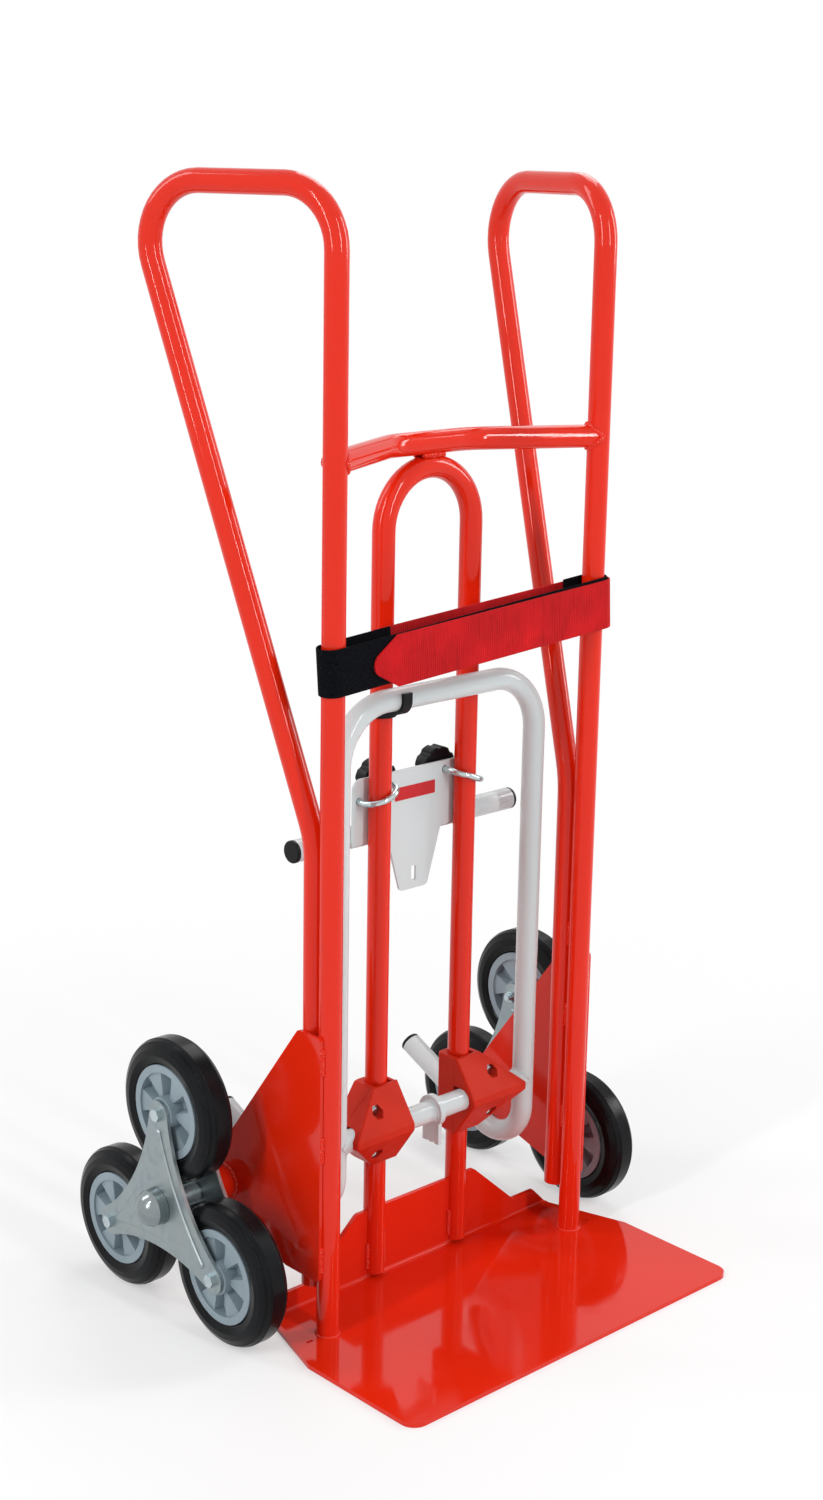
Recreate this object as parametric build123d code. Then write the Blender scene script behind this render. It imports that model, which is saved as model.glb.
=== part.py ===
"""Chair hand truck: tube frame on two three-wheel stars, with a folding fork on rails.

Millimetres. X runs across the truck, -Y is the front, Z is up. The origin lies on the
ground, midway between the two uprights.
"""
import os
from math import cos, radians, sin, tan

from build123d import *

# Frame tube, shared by the side frames, cross bar, rails, fork and slider
tube_d = 25.0
tube_wall = 2.0
weld_gap = 0.3
tube_r = tube_d / 2

# How far a hole is drawn past the faces that it opens
cut_over = 1.0

# Side frames
upright_half = 190.5
handle_top_z = 1215.5
handle_back = 244.0
handle_out = 65.0
handle_bend = 62.0
knee_z = 557.0
knee_bend = 120.0
rear_leg_foot_z = 56.0

# Toe plate with its bent-up rear
toe_half_width = 250.0
toe_front = 200.0
toe_thickness = 5.0
toe_corner_r = 18.0
toe_side_y = -37.0
toe_bend_r = 4.0
upstand_top_z = 88.0
upstand_top_half = 92.0
upstand_corner_r = 10.0
flange_top_z = 28.0
flange_chamfer = 22.0
flange_inner_half = 159.5
flange_end_half = 217.0
drain_slot_x = 218.0
drain_slot_y = -2.0
drain_slot_length = 9.0
drain_slot_width = 3.5

# Rails and cross bar
rail_half = 64.0
rail_y = 66.5
rail_foot_gap = 1.0
cross_bar_z = 950.0
cross_bar_bend_x = 57.0
cross_bar_bend_r = 70.0

# Side plates, bosses and stub axles
axle_y = 156.0
side_plate_t = 4.0
side_plate_bottom_z = 71.0
side_plate_top_z = 351.0
side_plate_front_y = -4.0
side_plate_top_depth = 40.0
side_plate_corner_r = 6.0
axle_eye_r = 30.0
boss_d = 38.0
boss_length = 22.0
axle_d = 16.0
axle_collar_d = 30.0
axle_collar_t = 6.0
axle_neck = 7.0
washer_d = 42.0
washer_t = 2.5
dome_nut_d = 40.0
dome_nut_skirt = 6.0
dome_height = 14.0
press_gap = 0.04

# Wheel stars
star_radius = 106.4
star_end_r = 15.5
star_waist = 50.0
star_plate_t = 4.0
star_rib_inset = 11.0
star_rib_height = 2.0
star_rib_slope = 1.4
star_rib_tip_r = 4.0
star_rib_tip_back = 21.0
star_hub_d = 24.0
star_hub_overhang = 3.0
run_gap = 0.08
side_gap = 0.4

# Wheels
tyre_d = 160.0
tyre_width = 40.0
tyre_crown_width = 18.0
tyre_shoulder_in = 5.5
tyre_shoulder_drop = 3.5
tyre_side_in = 1.5
tyre_bead_in = 2.0
tyre_round = 2.5
tyre_groove_r = 1.1
tyre_belly_share = 0.36
tyre_ridge_share = 0.55
rim_d = 105.0
rim_width = 36.0
rim_wall = 8.5
web_width = 10.0
wheel_boss_d = 36.0
wheel_boss_length = 46.0
spoke_count = 6
spoke_turn = 42.0
spoke_draft = 12.0
spoke_depth = 31.0
spacer_d = 18.0
wheel_bolt_d = 8.0
wheel_hex = 13.0
wheel_head_h = 5.5
wheel_nut_h = 6.5
wheel_nut_collar_h = 2.5
wheel_nut_collar_d = 11.6
bolt_tail = 3.0

# Fork
fork_half = 146.0
fork_top_z = 686.0
fork_corner_r = 65.0
tine_end_y = 232.0
tine_end_z = 180.0
tine_rise = 25.0
tine_bend_r = 45.0
pivot_z = 197.0
slide_gap = 0.3
cap_t = 4.5
cap_round = 1.8
cap_plug = 14.0
collar_t = 6.0
collar_width = 7.0
tab_length = 19.5
tab_width = 26.0
tab_t = 5.0
tab_notch_r = 1.8
tab_notch_pitch = 8.5

# Clamps that carry the fork on the rails
clamp_half_height = 46.0
clamp_inner = 18.7
clamp_top_outer = 18.8
clamp_nose_gap = 2.0
clamp_nose_flat = 4.0
clamp_wall = 5.0
clamp_nose_wall = 8.0
clamp_rim = 3.5
clamp_edge_r = 2.5
clamp_split = 0.4
clamp_nose_depth = 12.0
clamp_bolt_x = 25.0
clamp_bolt_z = 24.75
clamp_bolt_d = 8.0
clamp_bolt_tail = 1.6
clamp_hex = 13.0
clamp_nut_h = 6.5
clamp_head_h = 5.5
clamp_pocket_gap = 0.3
clamp_seat = 5.0

# Hook clip on the left rail
clip_width = 12.0
clip_t = 4.0
clip_ring_h = 10.0
clip_lip = 9.0
clip_gap = 0.4

# Upper slider
slider_half = 91.0
slider_top_z = 592.0
slider_wing_height = 74.0
slider_t = 3.0
slider_corner_r = 12.0
tongue_root_half = 40.0
tongue_tip_half = 20.5
tongue_length = 66.0
tongue_corner_r = 6.0
slot_width = 7.0
slot_height = 17.0
slot_rise = 18.0
slider_tube_half = 161.0
slider_tube_drop = 69.0
hook_rod_d = 7.0
hook_half = 19.5
hook_inner_drop = 10.0
hook_outer_drop = 24.5
hook_bend_r = 19.0
hook_tail = 4.0
hook_hole_gap = 0.5
knob_d = 48.0
knob_t = 17.0
knob_lobes = 8
knob_scallop_r = 7.0
knob_scallop_depth = 1.8
knob_chamfer = 1.0
knob_boss_d = 20.0
knob_boss_h = 4.0
knob_bore_depth = 16.0
thread_end_gap = 1.0
label_width = 60.0
label_height = 15.0
label_t = 0.4
label_drop = 27.0

# Strap round both uprights
strap_width = 50.0
tail_width = 55.0
strap_t = 2.0
band_z = 756.2
tail_z = 752.4
band_tilt = 4.2
tail_tilt = 3.7
strap_gap = 0.6
band_end_room = 2.4
band_back_left_x = -100.0
band_back_right_x = 160.0
tail_end_room = 4.0
tail_tip_x = -150.0
tail_tip_r = 13.2
tail_tip_angle = 32.0
tail_back_x = -120.0

# Places worked out from the sizes above
rear_leg_y = tube_d + weld_gap
rail_foot_z = toe_thickness + toe_bend_r + rail_foot_gap
upstand_y = rail_y - toe_thickness / 2
rail_top_z = cross_bar_z - tube_d - weld_gap
side_plate_x = upright_half + tube_r + weld_gap
boss_x = side_plate_x + side_plate_t
collar_x = boss_x + boss_length
hub_x = collar_x + axle_collar_t + axle_neck
inner_plate_x = hub_x + star_hub_overhang
wheel_x = inner_plate_x + star_plate_t + wheel_boss_length / 2
outer_plate_x = wheel_x + wheel_boss_length / 2
hub_end_x = outer_plate_x + star_plate_t + star_rib_height
washer_x = hub_end_x + side_gap
axle_z = tyre_d / 2 + star_radius * sin(radians(30))
star_turns = {"top": 90.0, "rear": -30.0, "front": 210.0}
fork_y = rail_y - tube_d - 2 * slide_gap
split_y = rail_y - tube_r - slide_gap
slider_y = rail_y + tube_r + slide_gap
slider_back_y = slider_y + slider_t
slider_wing_bottom_z = slider_top_z - slider_wing_height
tongue_bottom_z = slider_wing_bottom_z - tongue_length
slot_z = tongue_bottom_z + slot_rise
slider_tube_z = slider_top_z - slider_tube_drop
hook_inner_z = slider_top_z - hook_inner_drop
hook_outer_z = slider_top_z - hook_outer_drop
label_z = slider_top_z - label_drop
sides = {"left": -1, "right": 1}


def rod(axis, start, end, radius, across):
    """A round bar along one axis; across gives its place on the two other axes."""
    length = end - start
    middle = (start + end) / 2
    bar = Cylinder(radius, length)
    if axis == "x":
        return Pos(middle, across[0], across[1]) * Rot(0, 90, 0) * bar
    if axis == "y":
        return Pos(across[0], middle, across[1]) * Rot(90, 0, 0) * bar
    return Pos(across[0], across[1], middle) * bar


def ring(axis, start, end, outer_r, inner_r, across):
    """A straight tube or washer along one axis."""
    return rod(axis, start, end, outer_r, across) - rod(axis, start, end, inner_r, across)


def hex_bar(axis, start, end, across_flats, across):
    """A hexagonal bar along X or Y."""
    face = RegularPolygon(across_flats / 2, 6, major_radius=False)
    if axis == "x":
        plane = Plane(origin=(start, across[0], across[1]), x_dir=(0, 1, 0), z_dir=(1, 0, 0))
    else:
        plane = Plane(origin=(across[0], start, across[1]), x_dir=(1, 0, 0), z_dir=(0, 1, 0))
    return extrude(plane * face, amount=end - start)


def bent_tube(path, outer_d=tube_d, wall=tube_wall):
    """A round tube along a path, open at both ends."""
    start = Plane(origin=path @ 0, z_dir=path % 0)
    skin = sweep(start * Circle(outer_d / 2), path=path)
    bore = sweep(start * Circle(outer_d / 2 - wall), path=path)
    return skin - bore


def bent_rod(path, diameter):
    """A solid round rod along a path."""
    start = Plane(origin=path @ 0, z_dir=path % 0)
    return sweep(start * Circle(diameter / 2), path=path)


def mirrored(shape):
    """The same piece on the other side of the truck."""
    return mirror(shape, about=Plane.YZ)


def on_side(shape, side):
    """A piece drawn for the right side, placed on the named side."""
    return shape if side == "right" else mirrored(shape)


def both_sides(shape):
    """A piece drawn for the right side, with its twin on the left."""
    return Compound(children=[mirrored(shape), shape])


def side_frame():
    """Upright, handle loop, slanted leg and lower rear leg in one bent tube."""
    path = FilletPolyline(
        (upright_half, 0, toe_thickness),
        (upright_half, 0, handle_top_z),
        (upright_half + handle_out, handle_back, handle_top_z),
        (upright_half, rear_leg_y, knee_z),
        (upright_half, rear_leg_y, rear_leg_foot_z),
        radius=[handle_bend, handle_bend, knee_bend],
    )
    return bent_tube(path)


def cross_bar():
    """Bent tube between the uprights, shaped at its ends to fit them."""
    path = FilletPolyline(
        (-upright_half, 0, cross_bar_z),
        (-cross_bar_bend_x, rail_y, cross_bar_z),
        (cross_bar_bend_x, rail_y, cross_bar_z),
        (upright_half, 0, cross_bar_z),
        radius=cross_bar_bend_r,
    )
    bar = bent_tube(path)
    low, high = cross_bar_z - tube_d, cross_bar_z + tube_d
    for sign in sides.values():
        bar -= rod("z", low, high, tube_r + press_gap, (sign * upright_half, 0))
    return max(bar.solids(), key=lambda solid: solid.volume)


def guide_hoop():
    """The two rails, slotted at the foot to straddle the upstand, and the half circle above."""
    shoulder_z = rail_top_z - rail_half
    left_foot = (-rail_half, rail_y, rail_foot_z)
    left_top = (-rail_half, rail_y, shoulder_z)
    crown = (0, rail_y, rail_top_z)
    right_top = (rail_half, rail_y, shoulder_z)
    right_foot = (rail_half, rail_y, rail_foot_z)
    left_rail = Line(left_foot, left_top)
    bend = ThreePointArc(left_top, crown, right_top)
    right_rail = Line(right_top, right_foot)
    hoop = bent_tube(Wire([left_rail, bend, right_rail]))
    slot_top = upstand_top_z + weld_gap
    slot = Box(2 * (rail_half + tube_d), toe_thickness + 2 * weld_gap, 2 * slot_top)
    return hoop - Pos(0, upstand_y + toe_thickness / 2, 0) * slot


def toe_plate():
    """One sheet: the flat toe, the rear bend and the shaped upstand."""
    bend_y = upstand_y - toe_bend_r
    bend_z = toe_thickness + toe_bend_r
    back_y = upstand_y + toe_thickness
    turn = sin(radians(45))
    inner_mid = (bend_y + toe_bend_r * turn, bend_z - toe_bend_r * turn)
    outer_r = toe_bend_r + toe_thickness
    outer_mid = (bend_y + outer_r * turn, bend_z - outer_r * turn)
    section = make_face([
        Line((-toe_front, 0), (bend_y, 0)),
        ThreePointArc((bend_y, 0), outer_mid, (back_y, bend_z)),
        Line((back_y, bend_z), (back_y, upstand_top_z)),
        Line((back_y, upstand_top_z), (upstand_y, upstand_top_z)),
        Line((upstand_y, upstand_top_z), (upstand_y, bend_z)),
        ThreePointArc((upstand_y, bend_z), inner_mid, (bend_y, toe_thickness)),
        Line((bend_y, toe_thickness), (-toe_front, toe_thickness)),
        Line((-toe_front, toe_thickness), (-toe_front, 0)),
    ])
    sheet = extrude(Plane.YZ * section, amount=toe_half_width, both=True)

    plan = Polygon(
        (-toe_half_width, -toe_front),
        (toe_half_width, -toe_front),
        (toe_half_width, toe_side_y),
        (flange_end_half, back_y),
        (-flange_end_half, back_y),
        (-toe_half_width, toe_side_y),
        align=None,
    )
    plan = fillet(plan.vertices().sort_by(Axis.Y)[:2], toe_corner_r)
    sheet &= extrude(plan, amount=upstand_top_z)

    front_view = Polygon(
        (-toe_half_width, 0),
        (-toe_half_width, flange_top_z - flange_chamfer),
        (-flange_end_half, flange_top_z - flange_chamfer),
        (-flange_end_half + flange_chamfer, flange_top_z),
        (-flange_inner_half, flange_top_z),
        (-upstand_top_half, upstand_top_z),
        (upstand_top_half, upstand_top_z),
        (flange_inner_half, flange_top_z),
        (flange_end_half - flange_chamfer, flange_top_z),
        (flange_end_half, flange_top_z - flange_chamfer),
        (toe_half_width, flange_top_z - flange_chamfer),
        (toe_half_width, 0),
        align=None,
    )
    front_view = fillet(front_view.vertices().sort_by(Axis.Y)[-2:], upstand_corner_r)
    upstand = extrude(Plane.XZ * front_view, amount=2 * back_y, both=True)
    flat_depth = toe_front + bend_y
    flat = Pos(0, bend_y - flat_depth / 2, bend_z / 2) * Box(2 * toe_half_width, flat_depth, bend_z)
    sheet &= upstand + flat
    slot = extrude(SlotOverall(drain_slot_length, drain_slot_width), amount=toe_thickness)
    for sign in sides.values():
        sheet -= Pos(sign * drain_slot_x, drain_slot_y, 0) * slot
    return sheet


def side_plate():
    """Triangular sheet on the outside of the upright and rear leg, with an eye at the axle."""
    r = side_plate_corner_r
    spots = [
        (side_plate_front_y + r, side_plate_bottom_z + r, r),
        (side_plate_front_y + r, side_plate_top_z - r, r),
        (side_plate_front_y + side_plate_top_depth - r, side_plate_top_z - r, r),
        (rear_leg_y + tube_d, side_plate_bottom_z + r, r),
        (axle_y, axle_z, axle_eye_r),
    ]
    circles = [Pos(y, z) * Circle(radius) for y, z, radius in spots]
    outline = make_hull([circle.edges()[0] for circle in circles])
    sheet = extrude(Plane.YZ * outline, amount=side_plate_t, dir=(1, 0, 0))
    sheet = Pos(side_plate_x, 0, 0) * sheet
    hole = rod("x", side_plate_x - cut_over, boss_x + cut_over, axle_d / 2 + press_gap, (axle_y, axle_z))
    return sheet - hole


def axle_boss():
    """Welded boss that stiffens the stub axle."""
    return ring("x", boss_x, collar_x, boss_d / 2, axle_d / 2 + press_gap, (axle_y, axle_z))


def axle_end_x():
    """How far out the stub axle reaches inside its dome nut."""
    return washer_x + 2 * washer_t + dome_nut_skirt


def stub_axle():
    """Axle rod with the collar that bears on the boss."""
    place = (axle_y, axle_z)
    bar = rod("x", side_plate_x, axle_end_x(), axle_d / 2, place)
    return bar + rod("x", collar_x, collar_x + axle_collar_t, axle_collar_d / 2, place)


def axle_washers():
    """Two plain washers between the star and the dome nut."""
    place = (axle_y, axle_z)
    bore = axle_d / 2 + press_gap
    first = ring("x", washer_x, washer_x + washer_t, washer_d / 2, bore, place)
    second_r = (washer_d + dome_nut_d) / 4
    second = ring("x", washer_x + washer_t, washer_x + 2 * washer_t, second_r, bore, place)
    return [first, second]


def dome_nut():
    """Round dome nut with a blind bore."""
    nut_x = washer_x + 2 * washer_t
    rim_x = nut_x + dome_nut_skirt
    crown = (rim_x + dome_height, 0)
    half_r = dome_nut_d / 2
    sphere_r = (half_r**2 + dome_height**2) / (2 * dome_height)
    centre_x = rim_x + dome_height - sphere_r
    swell_r = half_r / 2
    swell = (centre_x + (sphere_r**2 - swell_r**2) ** 0.5, swell_r)
    face = make_face([
        Line((nut_x, 0), (nut_x, half_r)),
        Line((nut_x, half_r), (rim_x, half_r)),
        ThreePointArc((rim_x, half_r), swell, crown),
        Line(crown, (nut_x, 0)),
    ])
    nut = Pos(0, axle_y, axle_z) * revolve(face, Axis.X)
    bore = rod("x", nut_x - cut_over, axle_end_x() + press_gap, axle_d / 2 + press_gap, (axle_y, axle_z))
    return nut - bore


def star_point(radius, degrees):
    """A point of the star in the Y-Z plane, counted from the axle."""
    return (radius * cos(radians(degrees)), radius * sin(radians(degrees)))


def three_arm_outline(tip_radius, tip_r, waist):
    """Three rounded arm ends joined by hollow arcs that touch them."""
    tips = [Pos(*star_point(tip_radius, turn)) * Circle(tip_r) for turn in star_turns.values()]
    outline = make_hull([tip.edges()[0] for tip in tips])
    step = tip_r - waist
    arc_centre = (tip_radius**2 - step**2) / (tip_radius + 2 * step)
    arc_r = arc_centre - waist
    for turn in star_turns.values():
        outline -= Pos(*star_point(arc_centre, turn + 180)) * Circle(arc_r)
    return outline


def star_plate():
    """Outer star plate, pressed with a raised middle; bolt holes and a hub hole."""
    outline = three_arm_outline(star_radius, star_end_r, star_waist)
    rib_waist = star_waist - star_rib_inset
    raised = three_arm_outline(star_radius - star_rib_tip_back, star_rib_tip_r, rib_waist)
    plate = extrude(outline, amount=star_plate_t, dir=(0, 0, 1))
    middle = extrude(raised, amount=star_rib_height, dir=(0, 0, 1))
    middle = chamfer(middle.faces().sort_by(Axis.Z)[-1].edges(), star_rib_slope)
    plate += Pos(0, 0, star_plate_t) * middle
    plane = Plane(origin=(outer_plate_x, axle_y, axle_z), x_dir=(0, 1, 0), z_dir=(1, 0, 0))
    plate = plane * plate
    low, high = outer_plate_x - cut_over, hub_end_x + cut_over
    plate -= rod("x", low, high, star_hub_d / 2 + press_gap, (axle_y, axle_z))
    for turn in star_turns.values():
        plate -= rod("x", low, high, wheel_bolt_d / 2 + press_gap, wheel_place(turn))
    return plate


def wheel_place(turn):
    """Y and Z of the wheel on the star arm at this turn."""
    y, z = star_point(star_radius, turn)
    return (axle_y + y, axle_z + z)


def star_hub():
    """Tube through both star plates that turns on the stub axle."""
    return ring("x", hub_x, hub_end_x, star_hub_d / 2, axle_d / 2 + run_gap, (axle_y, axle_z))


def wheel_bolt(turn):
    """Hexagon bolt through the star plates and a wheel."""
    place = wheel_place(turn)
    head_x = outer_plate_x + star_plate_t
    tail_x = inner_plate_x - wheel_nut_h - wheel_nut_collar_h - bolt_tail
    shank = rod("x", tail_x, head_x, wheel_bolt_d / 2, place)
    return shank + hex_bar("x", head_x, head_x + wheel_head_h, wheel_hex, place)


def wheel_nut(turn):
    """Lock nut with its round collar, on the inner side of the star."""
    place = wheel_place(turn)
    nut_x = inner_plate_x - wheel_nut_h
    nut = hex_bar("x", nut_x, inner_plate_x, wheel_hex, place)
    nut += rod("x", nut_x - wheel_nut_collar_h, nut_x, wheel_nut_collar_d / 2, place)
    bore = rod("x", nut_x - 2 * wheel_nut_collar_h, inner_plate_x + cut_over,
               wheel_bolt_d / 2 + press_gap, place)
    return nut - bore


def wheel_spacer(turn):
    """Tube between the star plates that the wheel runs on."""
    half = wheel_boss_length / 2
    bore = wheel_bolt_d / 2 + press_gap
    return ring("x", wheel_x - half, wheel_x + half, spacer_d / 2, bore, wheel_place(turn))


def tyre():
    """Rubber tyre on the X axis, with grooves beside the crown and on the sides."""
    half = tyre_width / 2
    crown = tyre_crown_width / 2
    crown_r = tyre_d / 2
    seat_r = rim_d / 2 + press_gap
    depth = crown_r - seat_r
    edge = (half - tyre_shoulder_in, crown_r - tyre_shoulder_drop)
    side_top = (half - tyre_side_in, edge[1] - depth / 4)
    belly = (half, seat_r + tyre_belly_share * depth)
    bead = (half - tyre_bead_in, seat_r + depth / 10)
    foot = (rim_width / 2 - tyre_bead_in, seat_r)
    right = [foot, bead, belly, side_top, edge, (crown, crown_r)]
    left = [(-x, r) for x, r in reversed(right)]
    section = Polygon(*right, *left, align=None)
    corners = [corner for corner in section.vertices() if corner.Y > seat_r + depth / 5]
    section = fillet(corners, tyre_round)
    ridge = (half, seat_r + tyre_ridge_share * depth)
    for x, r in (edge, (crown, crown_r), ridge):
        section -= Pos(x, r) * Circle(tyre_groove_r)
        section -= Pos(-x, r) * Circle(tyre_groove_r)
    return revolve(section, Axis.X)


def wheel_hub():
    """Plastic wheel centre on the X axis: rim, web, spokes and boss."""
    rim_r = rim_d / 2
    boss_half = wheel_boss_length / 2 - side_gap
    hub = ring("x", -rim_width / 2, rim_width / 2, rim_r, rim_r - rim_wall, (0, 0))
    hub += rod("x", -web_width / 2, web_width / 2, rim_r - rim_wall / 2, (0, 0))
    hub += rod("x", -boss_half, boss_half, wheel_boss_d / 2, (0, 0))
    reach = rim_r - rim_wall / 2
    spread = reach * tan(radians(spoke_turn / 2))
    wedge = Plane.YZ * Polygon((0, 0), (reach, -spread), (reach, spread), align=None)
    for index in range(spoke_count):
        place = Rot(360 * index / spoke_count, 0, 0)
        for sign in sides.values():
            way = (sign, 0, 0)
            hub += place * extrude(wedge, amount=spoke_depth / 2, dir=way, taper=spoke_draft)
    return hub - rod("x", -wheel_boss_length, wheel_boss_length, spacer_d / 2 + run_gap, (0, 0))


def fork_path():
    """Tine, leg, top bar, leg and tine of the fork as one line."""
    knee = tine_end_z - (tine_end_y - fork_y) * sin(radians(tine_rise)) / cos(radians(tine_rise))
    half = [
        (fork_half, tine_end_y, tine_end_z),
        (fork_half, fork_y, knee),
        (fork_half, fork_y, fork_top_z),
    ]
    other = [(-x, y, z) for x, y, z in reversed(half)]
    radii = [tine_bend_r, fork_corner_r, fork_corner_r, tine_bend_r]
    return FilletPolyline(*half, *other, radius=radii)


def fork_hoop():
    """White hoop with two tines, bent from one tube."""
    return bent_tube(fork_path())


def pivot_tube():
    """Cross tube of the fork that turns in the clamps, shaped to fit both legs."""
    tube = ring("x", -fork_half, fork_half, tube_r, tube_r - tube_wall, (fork_y, pivot_z))
    for sign in sides.values():
        leg = rod("z", pivot_z - tube_d, pivot_z + tube_d, tube_r + press_gap,
                  (sign * fork_half, fork_y))
        tube -= leg
    return max(tube.solids(), key=lambda solid: solid.volume)


def lock_collar():
    """Ring on the pivot tube with a hanging tab, notched along its lower edge."""
    outer_r = tube_r + collar_t
    place = (fork_y, pivot_z)
    half = collar_width / 2
    collar = rod("x", -half, half, outer_r, place)
    top_z = pivot_z - tube_r
    low_z = pivot_z - outer_r - tab_length
    tab = Pos(0, fork_y, (top_z + low_z) / 2) * Box(tab_t, tab_width, top_z - low_z)
    for sign in sides.values():
        tab -= rod("x", -tab_t, tab_t, tab_notch_r, (fork_y + sign * tab_notch_pitch / 2, low_z))
    collar += tab
    return collar - rod("x", -collar_width, collar_width, tube_r + press_gap, place)


def tine_cap():
    """Plastic plug in the open end of a tine."""
    path = fork_path()
    out = Plane(origin=path @ 0, z_dir=-(path % 0))
    disc = extrude(out * Circle(tube_r), amount=cap_t)
    disc = fillet(disc.edges().filter_by(GeomType.CIRCLE).sort_by(Axis.Y)[-1], cap_round)
    plug = extrude(out * Circle(tube_r - tube_wall - press_gap), amount=-cap_plug)
    return disc + plug


def clamp_outline():
    """Outline of a clamp seen from the front, counted from its rail and the pivot."""
    nose = clamp_nose_x()
    return Polygon(
        (-clamp_inner, clamp_half_height),
        (clamp_top_outer, clamp_half_height),
        (nose, clamp_nose_flat),
        (nose, -clamp_nose_flat),
        (clamp_top_outer, -clamp_half_height),
        (-clamp_inner, -clamp_half_height),
        align=None,
    )


def clamp_nose_x():
    """How far the clamp reaches outwards from its rail, short of the fork leg."""
    return fork_half - tube_r - clamp_nose_gap - rail_half


def clamp_block():
    """The clamp's outline as a block deep enough for either half."""
    plane = Plane(origin=(rail_half, 0, pivot_z), x_dir=(1, 0, 0), z_dir=(0, -1, 0))
    return extrude(plane * clamp_outline(), amount=2 * (rail_y + tube_d), both=True)


def clamp_bolt_places():
    """X and Z of the two bolts of the right clamp."""
    x = rail_half + clamp_bolt_x
    return [(x, pivot_z + clamp_bolt_z), (x, pivot_z - clamp_bolt_z)]


def bolt_floor_front():
    """Y of the nut's seat in the front half."""
    return split_y - clamp_seat


def bolt_floor_rear():
    """Y of the bolt head's seat in the rear half."""
    return split_y + clamp_seat


def clamp_front():
    """Front half: a wedge round the pivot tube, with pockets for the nuts."""
    back_y = split_y - clamp_split / 2
    rim_y = back_y - clamp_rim
    nose_y = fork_y - tube_r - clamp_nose_wall
    profile = Polygon(
        (back_y, clamp_half_height),
        (rim_y, clamp_half_height),
        (nose_y, clamp_nose_flat),
        (nose_y, -clamp_nose_flat),
        (rim_y, -clamp_half_height),
        (back_y, -clamp_half_height),
        align=None,
    )
    width = 2 * (clamp_inner + fork_half)
    wedge = Pos(rail_half, 0, pivot_z) * extrude(Plane.YZ * profile, amount=width, both=True)
    body = wedge & clamp_block()
    edges = [edge for edge in body.edges() if edge.center().Y < back_y - clamp_rim / 2]
    body = fillet(edges, clamp_edge_r)
    bore_r = tube_r + slide_gap
    body -= rod("x", 0, fork_half, bore_r, (fork_y, pivot_z))
    throat = split_y - fork_y
    body -= Pos(fork_half / 2, fork_y + throat / 2, pivot_z) * Box(fork_half, throat, 2 * bore_r)
    for place in clamp_bolt_places():
        body -= rod("y", nose_y - cut_over, split_y + cut_over, clamp_bolt_d / 2 + press_gap, place)
        body -= hex_bar("y", nose_y - cut_over, bolt_floor_front(), clamp_hex + 2 * clamp_pocket_gap, place)
    return body


def clamp_rear():
    """Rear half: wraps the rail and thins towards the outer nose."""
    face_y = split_y + clamp_split / 2
    bore_r = tube_r + slide_gap
    back_y = rail_y + bore_r + clamp_wall
    nose_y = face_y + clamp_nose_depth
    plan = Polygon(
        (-clamp_inner, face_y),
        (-clamp_inner, back_y - clamp_wall),
        (-clamp_inner + clamp_wall, back_y),
        (clamp_inner - clamp_wall, back_y),
        (clamp_nose_x(), nose_y),
        (clamp_nose_x(), face_y),
        align=None,
    )
    height = 2 * clamp_half_height
    prism = Pos(rail_half, 0, pivot_z) * extrude(plan, amount=clamp_half_height, both=True)
    body = prism & clamp_block()
    edges = [edge for edge in body.edges() if edge.center().Y > face_y + clamp_rim]
    body = fillet(edges, clamp_edge_r)
    body -= rod("z", pivot_z - height, pivot_z + height, bore_r, (rail_half, rail_y))
    throat = rail_y - split_y
    body -= Pos(rail_half, rail_y - throat / 2, pivot_z) * Box(2 * bore_r, throat, 2 * height)
    for place in clamp_bolt_places():
        body -= rod("y", split_y - cut_over, back_y + cut_over, clamp_bolt_d / 2 + press_gap, place)
        pocket_r = clamp_hex / 2 / cos(radians(30)) + clamp_pocket_gap
        body -= rod("y", bolt_floor_rear(), back_y + cut_over, pocket_r, place)
    return body


def clamp_bolt(place):
    """Bolt that pulls the two halves of a clamp together, with its head at the rear."""
    floor = bolt_floor_rear()
    tail_y = bolt_floor_front() - clamp_nut_h - clamp_bolt_tail
    bolt = rod("y", tail_y, floor, clamp_bolt_d / 2, place)
    return bolt + hex_bar("y", floor, floor + clamp_head_h, clamp_hex, place)


def clamp_nut(place):
    """Nut in the hexagonal pocket of the front half."""
    floor = bolt_floor_front()
    nut = hex_bar("y", floor - clamp_nut_h, floor, clamp_hex, place)
    return nut - rod("y", floor - 2 * clamp_nut_h, floor + cut_over, clamp_bolt_d / 2 + press_gap, place)


def hook_clip():
    """Springy hook on the left rail, under and in front of the fork's top bar."""
    inner_r = tube_r + clip_gap
    outer_r = inner_r + clip_t
    low_z = fork_top_z - outer_r
    cup = Circle(outer_r) - Circle(inner_r)
    cup &= Pos(-outer_r / 2, -outer_r / 2) * Rectangle(outer_r, outer_r)
    lip = Pos(-inner_r - clip_t / 2, clip_lip / 2) * Rectangle(clip_t, clip_lip)
    arm_length = rail_y - fork_y
    arm = Pos(arm_length / 2, -inner_r - clip_t / 2) * Rectangle(arm_length, clip_t)
    plane = Plane(origin=(-rail_half, fork_y, fork_top_z), x_dir=(0, 1, 0), z_dir=(1, 0, 0))
    hook = extrude(plane * (cup + lip + arm), amount=clip_width / 2, both=True)
    top_z = low_z + clip_t
    place = (-rail_half, rail_y)
    hook += rod("z", top_z - clip_ring_h, top_z, tube_r + clip_t, place)
    return hook - rod("z", low_z - clip_ring_h, top_z + cut_over, tube_r + press_gap, place)


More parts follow.
